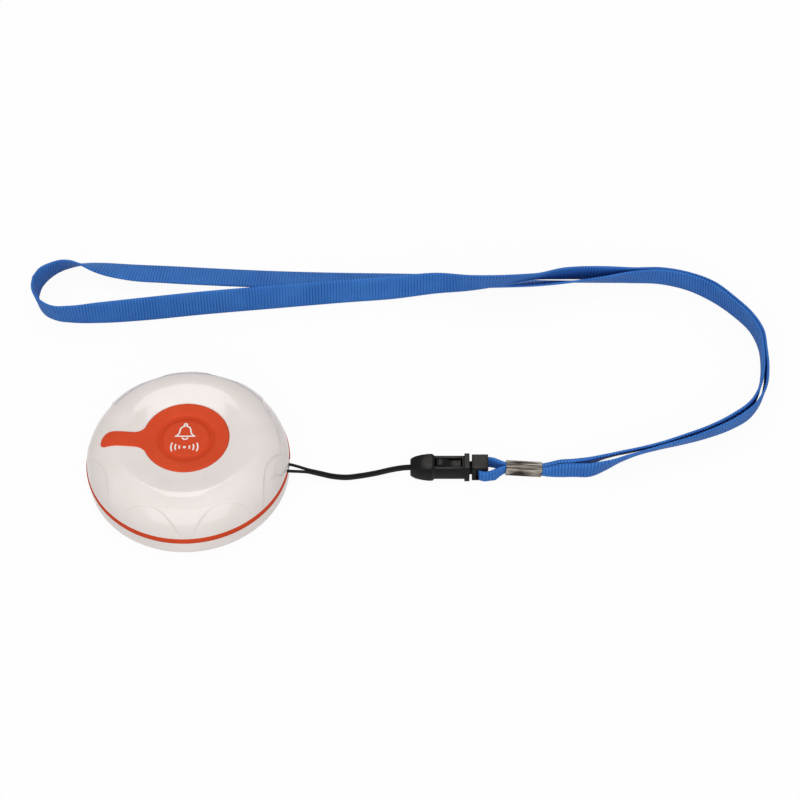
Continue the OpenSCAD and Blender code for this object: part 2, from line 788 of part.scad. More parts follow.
// Neck strap: one loop that starts and ends in the crimp
module neck_strap() {
    end_z = crimp_mid[2] - 0.35 * tan(crimp_pitch);
    out_z = crimp_mid[2] - crimp_l / 2 * tan(crimp_pitch);
    share = leg_h / strap_w;
    near = concat([[99.3, -leg_y, end_z - leg_h / 2, 90, share],
        [crimp_x + crimp_l, -leg_y, out_z - leg_h / 2, 90, share]], strap_near);
    far = concat(strap_far, [[crimp_x + crimp_l, leg_y, out_z - leg_h / 2, 90, share],
        [99.3, leg_y, end_z - leg_h / 2, 90, share]]);
    route = concat(near, far);
    wide = [for (s = route) s[4] * strap_w];
    thick = [for (w = wide) min(leg_t, strap_t * strap_w / w)];
    mid = [for (i = [0:len(route) - 1]) [route[i][0], route[i][1], route[i][2]
        + abs(sin(route[i][3])) * wide[i] / 2 + abs(cos(route[i][3])) * thick[i] / 2]];
    flat = [for (p = mid) [p[0], p[1], 0]];
    color("royalblue")
        skin([for (i = [0:len(route) - 1])
            band_ring(mid[i], along(flat, i), route[i][3], wide[i], thick[i])]);
}

lower_shell();
upper_shell();
seal_band();
housing_screws();
button_pad();
flex_web();
call_button();
button_plunger();
circuit_board();
push_switch();
switch_stem();
radio_chip();
crystal_can();
loop_antenna();
status_led();
light_pipe();
coin_cell();
cell_clip();
cell_contact();
cord_pin();
cord_loop();
cord_knot();
buckle_socket();
buckle_plug();
latch_arm();
anchor_loop();
strap_crimp();
neck_strap();
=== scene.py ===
"""Looks of a caregiver call button: a sealed radio pendant on a neck strap."""

import math

import bmesh
import bpy
import numpy as np
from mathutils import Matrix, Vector
from mathutils.geometry import delaunay_2d_cdt


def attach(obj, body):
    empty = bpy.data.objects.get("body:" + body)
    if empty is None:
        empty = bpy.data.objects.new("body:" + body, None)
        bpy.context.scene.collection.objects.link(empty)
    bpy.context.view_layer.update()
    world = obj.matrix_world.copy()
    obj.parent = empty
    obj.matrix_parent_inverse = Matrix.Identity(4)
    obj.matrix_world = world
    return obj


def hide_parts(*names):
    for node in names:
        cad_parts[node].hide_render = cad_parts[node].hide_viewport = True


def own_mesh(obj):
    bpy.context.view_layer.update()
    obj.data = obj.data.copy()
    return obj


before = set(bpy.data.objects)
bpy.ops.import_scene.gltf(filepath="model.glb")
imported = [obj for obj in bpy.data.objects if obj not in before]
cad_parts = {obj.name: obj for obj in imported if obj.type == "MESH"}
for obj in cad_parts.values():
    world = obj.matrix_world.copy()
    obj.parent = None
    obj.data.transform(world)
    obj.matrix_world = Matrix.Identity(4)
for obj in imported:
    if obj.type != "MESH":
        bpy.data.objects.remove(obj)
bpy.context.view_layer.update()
scene = bpy.context.scene
scene.view_settings.view_transform = "Standard"

# Metres in a millimetre
MM = 0.001

# Sizes in millimetres, angles and the count of panels, as in the part's source
FIT = 0.05
BODY_R = 29.7
SEAM_Z = 8.0
SHELL_WALL = 2.2
SHOULDER_R = 10.2
DISH_DEPTH = 1.4
PANEL_COUNT = 8
PANEL_W = 19.8
PANEL_H = 8.2
PANEL_DEPTH = 0.35
PANEL_TOP = math.radians(66)
PANEL_TURN = math.radians(2.2)
PAD_R = 12.6
PAD_PROUD = 0.25
PAD_FLOOR = -1.25
TAIL_W = 5.4
TAIL_Y = -0.9
TAIL_REACH = 24.8
TAIL_BLEND = 4.0
BUTTON_R = 7.0
GROOVE_R = 8.2
ROOF_Z = 14.05
CAP_Z = 15.3
GROOVE_DEPTH = 0.35
CORD_D = 0.9
PIN = (27.6, -2.4)
PIN_D = 1.4
AXIS_Z = 3.1
NOSE_X = 65.4
KNOT_X = 68.77
LATCH_X = 74.0
LATCH_Z = 3.35
CRIMP_X = 93.6
CRIMP_L = 10.7
CRIMP_Z = 2.5
CRIMP_PITCH = math.radians(5.4)
STRAP_W = 10.0
STRAP_T = 0.7
LEG_T = 1.25
LEG_H = 2.8
LEG_Y = 0.675
LOOP_T = 1.0
SLOT_H = 4.4

# Sizes in millimetres and counts of the finer forms, which only the looks have
CREST_SOFT = 0.4
PANEL_EDGE = 0.28
SEAT_HOLE_R = 9.0
SEAT_EDGE = 0.15
LIP_R = 0.9
TAIL_TIP_R = 1.6
TAIL_END_R = 3.2
WEB_DEEP = 0.75
ROUND_STEPS = 160
CORD_STEP = 0.25
CORD_SIDES = 12
LATCH_ROOT = 0.9
RIB_PITCH = 0.94
RIB_RINGS = 6
RIB_STEP = RIB_PITCH / RIB_RINGS
RIB_DEPTH = 0.07
BEAD = 0.1

# Places and radii that follow from these sizes
SHOULDER_X = BODY_R - SHOULDER_R
CREST_Z = SEAM_Z + SHOULDER_R
DISH_R = (SHOULDER_X**2 + DISH_DEPTH**2) / (2 * DISH_DEPTH)
DISH_Z = CREST_Z - DISH_DEPTH + DISH_R
PANEL_R = (PANEL_W**2 / 4 + PANEL_H**2) / (2 * PANEL_H)

# Steps down a lip of the groove
LIP_STEPS = np.linspace(0, 1, 9)[1:]

# Section of the strap, over half its width and half its thickness
FLAT = np.linspace(-0.94, 0.94, 7)
SECTION = np.array(
    [[u, 1] for u in FLAT]
    + [[1, 0.5], [1, -0.5]]
    + [[u, -1] for u in FLAT[::-1]]
    + [[-1, -0.5], [-1, 0.5]]
)

# Cord: the middle line of its two strands, from the buckle back to the pendant
CORD_MID = [
    [65.2, 0, 3.1], [63, 0.1, 2.7], [60, 0.1, 1.9], [55.5, -0.4, 0.9], [50.5, -1.2, 0.5],
    [46.5, -1.7, 0.45], [42.5, -1.6, 0.8], [38.5, -1.5, 2.1], [35, -1.8, 3.8], [32.5, -2.2, 5.1],
]

# Strap: x, y, lift above the table, roll (90 stands on edge) and share of the full width
STRAP_NEAR = [
    [106.2, -0.8, 0.25, 90, 0.36], [109, -0.9, 0, 90, 0.5], [113.5, -1.1, 0, 94, 0.6],
    [118.5, -1.5, 0, 99, 0.74], [124, -0.1, 0, 112, 0.92], [129, 2.3, 0, 119, 1],
    [134, 4.5, 0, 122, 1], [140.5, 6.7, 0, 121, 1], [147.5, 8.8, 0, 118, 1],
    [155, 11.6, 0, 113, 1], [162, 15.1, 0, 108, 1], [168.2, 19.9, 0, 102, 1],
    [172, 26.2, 0, 97, 1], [173.7, 33, 0, 91, 1], [174.3, 40.7, 0, 86, 1], [174.1, 48.3, 0, 84, 1],
    [171.6, 55.5, 0, 79, 1], [166.9, 62, 0, 78, 1], [160.7, 68.3, 0, 80, 1],
    [153.1, 72.8, 0, 75, 1], [145, 75, 0, 73, 1], [135.5, 75.4, 0, 70, 1], [126, 75.5, 0.3, 71, 1],
    [113.5, 74.5, 1.3, 67, 1], [104.5, 70.9, 4.3, 56, 1], [94.5, 66.6, 6.9, 65, 1],
    [84.5, 66.5, 5.6, 75, 1], [73.5, 68.6, 3, 87, 1], [61, 69, 0.6, 92, 1], [44, 67.8, 0, 92, 1],
    [22, 65.4, 0, 93, 1], [0, 62.9, 0, 93, 1], [-18.5, 60.4, 0, 92, 1], [-31, 59, 0, 87, 1],
    [-40, 58.4, 0, 79, 1], [-45, 58.9, 0, 75, 1], [-48.9, 61.3, 0, 77, 1], [-51.4, 65.6, 0, 81, 1],
]
STRAP_FAR = [
    [-51.9, 69.7, 0, 87, 1], [-50.6, 73.6, 0, 95, 1], [-47.7, 76.9, 0, 106, 1],
    [-44.6, 79, 0, 114, 1], [-41.2, 80, 0, 123, 1], [-37.5, 80.2, 0, 135, 1],
    [-32.5, 79.6, 0, 149, 1], [-23.5, 78.6, 0, 160, 1], [-11, 77.8, 0, 163, 1],
    [5, 76.7, 0, 163, 1], [24.5, 75.6, 0, 162, 1], [43.5, 75, 0, 160, 1], [62.5, 74.7, 0, 158, 1],
    [78, 74.3, 0, 155, 1], [92.5, 73.4, 0, 148, 1], [105.5, 72.7, 0, 140, 1],
    [116.5, 72.9, 0, 132, 1], [126, 73.4, 0, 123, 1], [135.5, 74.1, 0, 112, 1],
    [145, 74, 0, 106, 1], [152.7, 71.8, 0, 103, 1], [160, 67.5, 0, 99, 1],
    [166.1, 61.3, 0, 101, 1], [170.7, 55, 0, 100, 1], [173.1, 48.2, 0, 95, 1],
    [173.3, 40.7, 0, 93, 1], [172.4, 33.2, 0, 89, 1], [170.5, 26.7, 0, 84, 1],
    [166.8, 20.7, 0, 79, 1], [160.5, 16.2, 0, 72, 1], [153.5, 12.7, 0, 66, 1], [146, 10, 0, 61, 1],
    [139, 7.6, 0, 58, 1], [133, 5.7, 0, 58, 1], [127.5, 4.3, 0, 58, 1], [123, 3.1, 0, 60, 0.92],
    [118.5, 1.9, 0, 68, 0.74], [113.5, 1.1, 0, 80, 0.6], [109, 0.9, 0, 90, 0.5],
    [106.2, 0.8, 0.25, 90, 0.36],
]


# Shapes

def soft_step(low, high, x):
    """A smooth rise from 0 at low to 1 at high."""
    t = np.clip((x - low) / (high - low), 0, 1)
    return t * t * (3 - 2 * t)


def length_along(p):
    """Length along a line at each of its points."""
    return np.r_[0, np.cumsum(np.linalg.norm(np.diff(p, axis=0), axis=1))]


def spline(points, spacing):
    """A smooth curve through points, as rows at an even spacing."""
    p = np.asarray(points, float)
    knots = length_along(p[:, :3])
    slope = np.gradient(p, knots, axis=0)
    t = np.linspace(0, knots[-1], int(round(knots[-1] / spacing)) + 1)
    i = np.clip(np.searchsorted(knots, t, side="right") - 1, 0, len(knots) - 2)
    h = (knots[i + 1] - knots[i])[:, None]
    u = (t - knots[i])[:, None] / h
    return (
        (1 + 2 * u) * (1 - u) ** 2 * p[i]
        + u * (1 - u) ** 2 * h * slope[i]
        + u * u * (3 - 2 * u) * p[i + 1]
        + u * u * (u - 1) * h * slope[i + 1]
    )


def unit_rows(v):
    """Each row at length 1."""
    return v / np.linalg.norm(v, axis=1)[:, None]


def full_turn(steps):
    """Angles of a full turn in even steps."""
    return np.linspace(0, 2 * math.pi, steps, endpoint=False)


def circle(angles):
    """Points of a circle of radius 1."""
    return np.stack([np.cos(angles), np.sin(angles)], -1)


def ring_faces(rows, columns, closed=False):
    """Quads between rings of points, as a grid of faces."""
    i = np.arange(rows if closed else rows - 1)[:, None]
    j = np.arange(columns)[None, :]
    a = i * columns
    b = (i + 1) % rows * columns
    k = (j + 1) % columns
    return np.stack([a + j, b + j, b + k, a + k], -1).reshape(-1, 4).tolist()


def end_faces(rows, columns):
    """The two faces that close a row of rings."""
    last = (rows - 1) * columns
    return [list(range(columns)), list(range(last, last + columns))]


def show_mesh(mesh, body, slot, sharp, material=None):
    """Shows a mesh in its material, riding on a body, with the edges over an angle left sharp."""
    mesh.polygons.foreach_set("use_smooth", [True] * len(mesh.polygons))
    mesh.set_sharp_from_angle(angle=math.radians(sharp))
    mesh.materials.append(material or SLOTS[slot])
    obj = bpy.data.objects.new(mesh.name, mesh)
    scene.collection.objects.link(obj)
    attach(obj, body)
    return obj


def add_piece(name, points, faces, body, slot, sharp=40, material=None):
    """A mesh piece from points in millimetres, riding on a body."""
    mesh = bpy.data.meshes.new(name)
    mesh.from_pydata((np.asarray(points, float).reshape(-1, 3) * MM).tolist(), [], faces)
    work = bmesh.new()
    work.from_mesh(mesh)
    bmesh.ops.recalc_face_normals(work, faces=work.faces)
    work.to_mesh(mesh)
    work.free()
    return show_mesh(mesh, body, slot, sharp, material)


def add_grid_uv(obj, along, across):
    """Lays a map over rings of points: along the length and across the section."""
    columns = len(across) - 1
    layer = obj.data.uv_layers.new(name="lay")
    for face in obj.data.polygons:
        if face.loop_total != 4:
            continue
        corners = [(v // columns, v % columns) for v in face.vertices]
        wraps = max(c for _, c in corners) - min(c for _, c in corners) > 1
        for loop, (row, column) in zip(face.loop_indices, corners):
            column = columns if wraps and column == 0 else column
            layer.data[loop].uv = (along[row], across[column])


def revolve(profile, steps):
    """Rings of points round the z axis."""
    turn = full_turn(steps)
    r, z = np.asarray(profile, float).T
    x = np.outer(r, np.cos(turn))
    y = np.outer(r, np.sin(turn))
    return np.stack([x, y, np.outer(z, np.ones(steps))], -1)


def sweep(path, radius, sides, closed=False):
    """Rings of a round tube along a path."""
    p = np.asarray(path, float)
    if closed:
        tangent = unit_rows(np.roll(p, -1, axis=0) - np.roll(p, 1, axis=0))
    else:
        tangent = unit_rows(np.gradient(p, axis=0))
    side = np.cross(tangent[0], [0, 0, 1.0])
    if np.linalg.norm(side) < 0.1:
        side = np.cross(tangent[0], [0, 1.0, 0])
    turn = full_turn(sides)
    rings = []
    for centre, t in zip(p, tangent):
        side = side - t * np.dot(side, t)
        side = side / np.linalg.norm(side)
        up = np.cross(t, side)
        rings.append(centre + radius * (np.outer(np.cos(turn), side) + np.outer(np.sin(turn), up)))
    return np.array(rings)


def dome(r, off):
    """Height of the top at a radius, moved out by an offset: a dish, a soft crest and a shoulder."""
    dish = DISH_Z - np.sqrt((DISH_R - off) ** 2 - np.square(r))
    over = np.clip(np.asarray(r) - SHOULDER_X, 0, SHOULDER_R + off)
    shoulder = SEAM_Z + np.sqrt((SHOULDER_R + off) ** 2 - over**2)
    close = np.clip(1 - np.abs(dish - shoulder) / CREST_SOFT, 0, 1)
    return np.minimum(dish, shoulder) - CREST_SOFT / 4 * close**2


# Materials

# Places of the two colours and of the result on a mix node
MIX_A = 6
MIX_B = 7
MIX_RESULT = 2


def linear(r, g, b):
    """A colour given as a screen colour from 0 to 255, as the shader takes it."""
    parts = [c / 255 for c in (r, g, b)]
    return [c / 12.92 if c <= 0.04045 else ((c + 0.055) / 1.055) ** 2.4 for c in parts] + [1.0]


def add_node(tree, kind, inputs, **settings):
    """A shader node with its settings, values and links."""
    node = tree.nodes.new(kind)
    for key, value in settings.items():
        setattr(node, key, value)
    for key, value in inputs.items():
        if isinstance(value, bpy.types.NodeSocket):
            tree.links.new(value, node.inputs[key])
        else:
            node.inputs[key].default_value = value
    return node


def start_material(name, roughness, **values):
    """A material with its shader set, and the tree and shader to build on."""
    material = bpy.data.materials.new(name)
    material.use_nodes = True
    tree = material.node_tree
    shader = tree.nodes["Principled BSDF"]
    shader.inputs["Roughness"].default_value = roughness
    for key, value in values.items():
        shader.inputs[key.replace("_", " ").title().replace("Ior", "IOR")].default_value = value
    return material, tree, shader


def noise(tree, place, scale, detail=3.0):
    """Soft noise at a scale given in millimetres."""
    inputs = {"Vector": place, "Scale": 1 / (scale * MM), "Detail": detail}
    return add_node(tree, "ShaderNodeTexNoise", inputs).outputs[0]


def shade(tree, factor, dark, light):
    """A colour between two by a factor."""
    inputs = {"Factor": factor, MIX_A: dark, MIX_B: light}
    return add_node(tree, "ShaderNodeMix", inputs, data_type="RGBA").outputs[MIX_RESULT]


def ramp(tree, value, start, end, low=0.0, high=1.0):
    """A value brought from one range into another."""
    inputs = {"Value": value, "From Min": start, "From Max": end, "To Min": low, "To Max": high}
    return add_node(tree, "ShaderNodeMapRange", inputs).outputs["Result"]


def spread(tree, value, low=0.0, high=1.0):
    """Noise, which lies mostly between 0.3 and 0.7, brought into a range."""
    return ramp(tree, value, 0.3, 0.7, low, high)


def larger(tree, one, two):
    """The larger of two values."""
    return add_node(tree, "ShaderNodeMath", {0: one, 1: two}, operation="MAXIMUM").outputs[0]


def finish(tree, shader, colour, roughness, height, depth):
    """Gives a shader its colour, its roughness and small relief of a depth in millimetres."""
    bump = add_node(tree, "ShaderNodeBump", {"Height": height, "Distance": depth * MM, "Strength": 1.0})
    tree.links.new(colour, shader.inputs["Base Color"])
    tree.links.new(roughness, shader.inputs["Roughness"])
    tree.links.new(bump.outputs["Normal"], shader.inputs["Normal"])


def grained(name, dark, light, rough, grain, relief, patch=9.0, **values):
    """A moulded or metal finish: patchy colour, uneven gloss and fine grain."""
    material, tree, shader = start_material(name, rough[0], **values)
    place = add_node(tree, "ShaderNodeTexCoord", {}).outputs["Object"]
    broad = noise(tree, place, patch)
    fine = noise(tree, place, grain, 5.0)
    colour = shade(tree, spread(tree, broad), linear(*dark), linear(*light))
    finish(tree, shader, colour, spread(tree, fine, *rough), fine, relief)
    return material


# Finishes: dark and light colour, range of roughness, then grain and relief in millimetres
SLOTS = {
    "shell_white": grained(
        "shell_white", (234, 225, 220), (240, 231, 227), (0.06, 0.1), 0.25, 0.0005, specular_ior_level=0.5
    ),
    "silicone_orange": grained(
        "silicone_orange", (214, 72, 36), (222, 79, 42), (0.5, 0.62), 0.18, 0.006, specular_ior_level=0.12
    ),
    # The web's silicone, a little darker than the pad's: painted shade in the groove
    "silicone_groove": grained(
        "silicone_groove", (210, 66, 31), (218, 72, 37), (0.5, 0.62), 0.18, 0.006, specular_ior_level=0.1
    ),
    "seal_orange": grained(
        "seal_orange", (205, 69, 34), (214, 75, 39), (0.5, 0.62), 0.2, 0.006, specular_ior_level=0.08
    ),
    "screw_steel": grained(
        "screw_steel", (150, 148, 145), (188, 186, 182), (0.25, 0.42), 0.12, 0.003, metallic=1.0
    ),
    "plunger_white": grained(
        "plunger_white", (214, 212, 205), (226, 224, 218), (0.38, 0.5), 0.25, 0.004, specular_ior_level=0.4
    ),
    "board_green": grained(
        "board_green", (18, 74, 40), (30, 98, 54), (0.3, 0.42), 0.6, 0.01, patch=1.4, specular_ior_level=0.5
    ),
    "chip_black": grained(
        "chip_black", (24, 24, 26), (40, 40, 42), (0.5, 0.62), 0.12, 0.006, patch=1.5, specular_ior_level=0.3
    ),
    "copper": grained(
        "copper", (178, 108, 70), (214, 142, 100), (0.24, 0.4), 0.15, 0.003, patch=2.0, metallic=1.0
    ),
    "lamp_clear": grained(
        "lamp_clear", (226, 214, 214), (240, 232, 232), (0.06, 0.12), 0.4, 0.001, transmission_weight=0.85
    ),
    "cell_steel": grained(
        "cell_steel", (176, 174, 170), (206, 204, 200), (0.18, 0.34), 0.2, 0.003, metallic=1.0
    ),
    "spring_steel": grained(
        "spring_steel", (164, 150, 116), (196, 182, 146), (0.22, 0.36), 0.2, 0.003, metallic=1.0
    ),
}


def nickel_with_painted_reflection():
    """Nickel plate with streaks along the crimp, close together on its top and wide on its sides; the dark
    and light streaks of its colour are painted reflection of dark and bright surroundings, and the same
    streaks vary its gloss and relief.
    """
    material, tree, shader = start_material("crimp_nickel", 0.3, metallic=1.0)
    place = add_node(tree, "ShaderNodeTexCoord", {}).outputs["Object"]
    drawn = add_node(tree, "ShaderNodeMapping", {"Vector": place, "Scale": (0.06, 1, 0.12)}).outputs[0]
    streak = noise(tree, drawn, 0.55, 4.0)
    # Painted reflection: the streaks' dark and light colours stand for dark and bright surroundings mirrored
    # in the metal
    colour = shade(tree, ramp(tree, streak, 0.4, 0.6), linear(44, 39, 35), linear(178, 169, 158))
    finish(tree, shader, colour, spread(tree, streak, 0.34, 0.2), streak, 0.01)
    return material


def black_with_painted_top_light():
    """Black moulded plastic with a fine grain, greyer on the upper faces by painted light from above."""
    material, tree, shader = start_material("buckle_black", 0.34, specular_ior_level=0.1)
    coord = add_node(tree, "ShaderNodeTexCoord", {})
    broad = spread(tree, noise(tree, coord.outputs["Object"], 2.5))
    fine = noise(tree, coord.outputs["Object"], 0.1, 5.0)
    up = add_node(tree, "ShaderNodeSeparateXYZ", {0: coord.outputs["Normal"]}).outputs["Z"]
    # Painted light: faces that point up get a greyer colour, standing for light from above falling on them
    painted_top_light = ramp(tree, up, 0.985, 0.998, high=0.9)
    plain = shade(tree, broad, linear(5, 5, 5), linear(11, 10, 10))
    painted_light = shade(tree, broad, linear(56, 54, 52), linear(70, 67, 64))
    colour = shade(tree, painted_top_light, plain, painted_light)
    finish(tree, shader, colour, spread(tree, fine, 0.28, 0.4), fine, 0.004)
    return material


def woven_strap():
    """Blue ribbed webbing: dark between the ribs, partly darker yarn and partly painted shade, with yarns
    along them and stray fibres.
    """
    material, tree, shader = start_material("strap_blue", 0.65, specular_ior_level=0.2)
    lay = add_node(tree, "ShaderNodeUVMap", {}, uv_map="lay").outputs["UV"]
    place = add_node(tree, "ShaderNodeTexCoord", {}).outputs["Object"]
    ribs = add_node(
        tree, "ShaderNodeTexWave",
        {"Vector": lay, "Scale": math.pi / (10 * RIB_PITCH), "Distortion": 0.6, "Detail Scale": 0.6,
         "Phase Offset": math.pi},
    ).outputs[1]
    rows = add_node(tree, "ShaderNodeMapping", {"Vector": lay, "Scale": (9, 1.2, 1)}).outputs[0]
    yarn = add_node(tree, "ShaderNodeTexNoise", {"Vector": rows, "Scale": 1.0, "Detail": 3.0}).outputs[0]
    broad = noise(tree, place, 12.0)
    # Painted shade in the rib valleys, partly darker yarn: lit is 0 in a valley, and patches of painted
    # light lift it
    painted_light = spread(tree, noise(tree, place, 7.0), high=0.7)
    lit = ramp(tree, ribs, 0, 0.6, low=painted_light)
    crest = shade(tree, spread(tree, broad), linear(50, 114, 198), linear(68, 132, 212))
    dyed = shade(tree, spread(tree, yarn), linear(36, 96, 178), linear(76, 142, 222))
    colour = shade(tree, lit, linear(28, 76, 152), shade(tree, 0.5, crest, dyed))
    finish(tree, shader, colour, spread(tree, yarn, 0.58, 0.76), yarn, 0.05)
    return material


def braided_cord():
    """Black braided cord: two crossing helices of yarn."""
    material, tree, shader = start_material("cord_black", 0.55, specular_ior_level=0.18)
    lay = add_node(tree, "ShaderNodeUVMap", {}, uv_map="lay").outputs["UV"]
    yarns = []
    for angle in (math.pi / 4, -math.pi / 4):
        turned = add_node(tree, "ShaderNodeMapping", {"Vector": lay, "Rotation": (0, 0, angle)})
        inputs = {"Vector": turned.outputs[0], "Scale": 1.4, "Distortion": 0.4}
        yarns.append(add_node(tree, "ShaderNodeTexWave", inputs).outputs[1])
    braid = larger(tree, *yarns)
    colour = shade(tree, braid, linear(7, 7, 7), linear(27, 26, 26))
    finish(tree, shader, colour, spread(tree, braid, 0.45, 0.65), braid, 0.06)
    return material


SLOTS["strap_blue"] = woven_strap()
SLOTS["cord_black"] = braided_cord()
SLOTS["crimp_nickel"] = nickel_with_painted_reflection()
SLOTS["buckle_black"] = black_with_painted_top_light()
SIGN_WHITE = grained(
    "sign_white", (240, 232, 226), (247, 241, 236), (0.4, 0.5), 0.15, 0.003, specular_ior_level=0.4
)


# Camera and light

def add_camera():
    """The photograph's view: a long lens, 51 degrees above the table."""
    camera = bpy.data.objects.new("camera", bpy.data.cameras.new("camera"))
    scene.collection.objects.link(camera)
    camera.data.lens = 108
    camera.data.sensor_width = 36
    camera.data.clip_start = 0.01
    camera.location = (0.062358, -0.431472, 0.567586)
    camera.rotation_euler = (math.radians(90 - 51), 0, 0)
    scene.camera = camera


def seen_directly(tree):
    """1 for rays that show the background: from the camera, off gloss or through glass."""
    path = add_node(tree, "ShaderNodeLightPath", {}).outputs
    first = larger(tree, path["Is Camera Ray"], path["Is Glossy Ray"])
    return larger(tree, first, path["Is Transmission Ray"])


def add_world():
    """Even pale surroundings, white where they are seen."""
    world = bpy.data.worlds.new("studio")
    world.use_nodes = True
    scene.world = world
    tree = world.node_tree
    soft = tree.nodes["Background"]
    soft.inputs["Color"].default_value = (1, 1, 1, 1)
    soft.inputs["Strength"].default_value = 0.46
    white = add_node(tree, "ShaderNodeBackground", {"Color": (1, 1, 1, 1), "Strength": 1.0})
    inputs = {0: seen_directly(tree), 1: soft.outputs[0], 2: white.outputs[0]}
    mix = add_node(tree, "ShaderNodeMixShader", inputs)
    tree.links.new(mix.outputs[0], tree.nodes["World Output"].inputs["Surface"])


def add_lamp(name, size, energy, place, tilt):
    """A soft box that shines along its tilt from straight down."""
    lamp = bpy.data.lights.new(name, "AREA")
    lamp.shape = "RECTANGLE"
    lamp.size, lamp.size_y = size
    lamp.energy = energy
    obj = bpy.data.objects.new(name, lamp)
    obj.location = place
    obj.rotation_euler = (math.radians(tilt), 0, 0)
    scene.collection.objects.link(obj)


def add_floor():
    """White table that keeps a faint shadow of the object."""
    mesh = bpy.data.meshes.new("floor")
    half = 3.0
    corners = [(-half, -half, 0), (half, -half, 0), (half, half, 0), (-half, half, 0)]
    mesh.from_pydata(corners, [], [(0, 1, 2, 3)])
    material = bpy.data.materials.new("floor")
    material.use_nodes = True
    tree = material.node_tree
    tree.nodes.remove(tree.nodes["Principled BSDF"])
    grey = 0.48
    glow = 1.07
    glow_share = 0.88
    matt = add_node(tree, "ShaderNodeBsdfDiffuse", {"Color": (grey, grey, grey, 1)})
    white = add_node(tree, "ShaderNodeEmission", {"Color": (1, 1, 1, 1), "Strength": glow})
    share = add_node(tree, "ShaderNodeMath", {0: seen_directly(tree), 1: glow_share}, operation="MULTIPLY")
    inputs = {0: share.outputs[0], 1: matt.outputs[0], 2: white.outputs[0]}
    mix = add_node(tree, "ShaderNodeMixShader", inputs)
    tree.links.new(mix.outputs[0], tree.nodes["Material Output"].inputs["Surface"])
    mesh.materials.append(material)
    floor = bpy.data.objects.new("floor", mesh)
    floor.location.z = -0.2 * MM
    scene.collection.objects.link(floor)


# Housing

def panel_depth(angle):
    """Depth of a grip panel below the shoulder, at an angle up the shoulder."""
    half = PANEL_TOP / 2
    chord = SHOULDER_R * math.sin(half)
    rise = SHOULDER_R * (1 - math.cos(half)) - PANEL_DEPTH
    flat_r = (chord**2 + rise**2) / (2 * rise)
    middle = SHOULDER_R * math.cos(half) + rise - flat_r
    near = middle * np.cos(angle - half)
    reach = near + np.sqrt(near**2 - middle**2 + flat_r**2)
    return np.clip(SHOULDER_R - reach, 0, None)


def add_upper_shell():
    """Dished top with arched grip panels round the shoulder."""
    steps = 800
    seat_r = PAD_R + FIT
    seat_mid = 0.04
    crest_r = SHOULDER_X - 0.2
    wall_r = SHOULDER_R - SHELL_WALL
    turn = full_turn(steps)
    profile = [(r, dome(r, PAD_FLOOR)) for r in np.linspace(SEAT_HOLE_R, seat_r, 5)]
    profile += [(seat_r, dome(seat_r, -SEAT_EDGE)), (seat_r + seat_mid, dome(seat_r, -seat_mid))]
    profile += [(r, dome(r, 0)) for r in np.linspace(seat_r + SEAT_EDGE, crest_r, 32)]
    rings = list(revolve(profile, steps))
    away = ((turn - PANEL_TURN) * PANEL_COUNT / (2 * math.pi) % 1 - 0.5) * 2 * math.pi / PANEL_COUNT
    for angle in np.radians(np.linspace(89, 0, 90)):
        r = SHOULDER_X + SHOULDER_R * math.cos(angle)
        up = SHOULDER_R * math.sin(angle) + PANEL_R - PANEL_H
        inside = soft_step(-PANEL_EDGE, PANEL_EDGE, PANEL_R - np.hypot(r * np.sin(away), up))
        reach = SHOULDER_R - panel_depth(angle) * inside
        out = SHOULDER_X + reach * math.cos(angle)
        crest = SEAM_Z + SHOULDER_R * math.sin(angle) - float(dome(r, 0))
        up = SEAM_Z + reach * math.sin(angle) - crest
        rings.append(np.stack([out * np.cos(turn), out * np.sin(turn), up], -1))
    inner = [
        (SHOULDER_X + wall_r * math.cos(a), SEAM_Z + wall_r * math.sin(a))
        for a in np.linspace(0, math.pi / 2, 12)
    ]
    rings += list(revolve(inner + [(SHOULDER_X, ROOF_Z), (SEAT_HOLE_R, ROOF_Z)], steps))
    faces = ring_faces(len(rings), steps, closed=True)
    shell = add_piece("upper_shell_skin", rings, faces, "pendant", "shell_white", sharp=60)
    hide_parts("upper_shell")


def tail_side(inset, edge):
    """One side of the tail: the angle where the pad ends, and the arc that leads out of it."""
    blend = TAIL_BLEND + inset
    y = edge - inset + blend
    x = -math.sqrt((PAD_R - inset + blend) ** 2 - y**2)
    swing = math.atan2(y, x)
    bend = np.linspace(swing - math.pi, -math.pi / 2, 18)[1:]
    return swing, np.array([x, y]) + blend * circle(bend)


def pad_outline(inset):
    """Outline of the pad and its tail, moved in by an inset."""
    set_back = 0.1
    low_y = TAIL_Y - TAIL_W / 2
    tip = np.array([TAIL_TIP_R - TAIL_REACH, low_y + TAIL_TIP_R])
    crown = np.array([TAIL_END_R - TAIL_REACH + set_back, low_y + TAIL_W - TAIL_END_R])
    apart = crown - tip
    meet = math.atan2(apart[1], apart[0]) + math.acos((TAIL_TIP_R - TAIL_END_R) / math.hypot(*apart))
    upper_swing, upper = tail_side(inset, TAIL_Y + TAIL_W / 2)
    lower_swing, lower = tail_side(inset, -low_y)
    lower = lower[::-1] * [1, -1]
    end = np.r_[
        crown + (TAIL_END_R - inset) * circle(np.linspace(math.pi / 2, meet, 20)),
        tip + (TAIL_TIP_R - inset) * circle(np.linspace(meet, 1.5 * math.pi, 14)),
    ]
    return np.r_[
        (PAD_R - inset) * circle(np.linspace(-lower_swing, upper_swing, 200)),
        upper,
        np.linspace(upper[-1], end[0], 10)[1:-1],
        end,
        np.linspace(end[-1], lower[0], 14)[1:-1],
        lower,
    ]


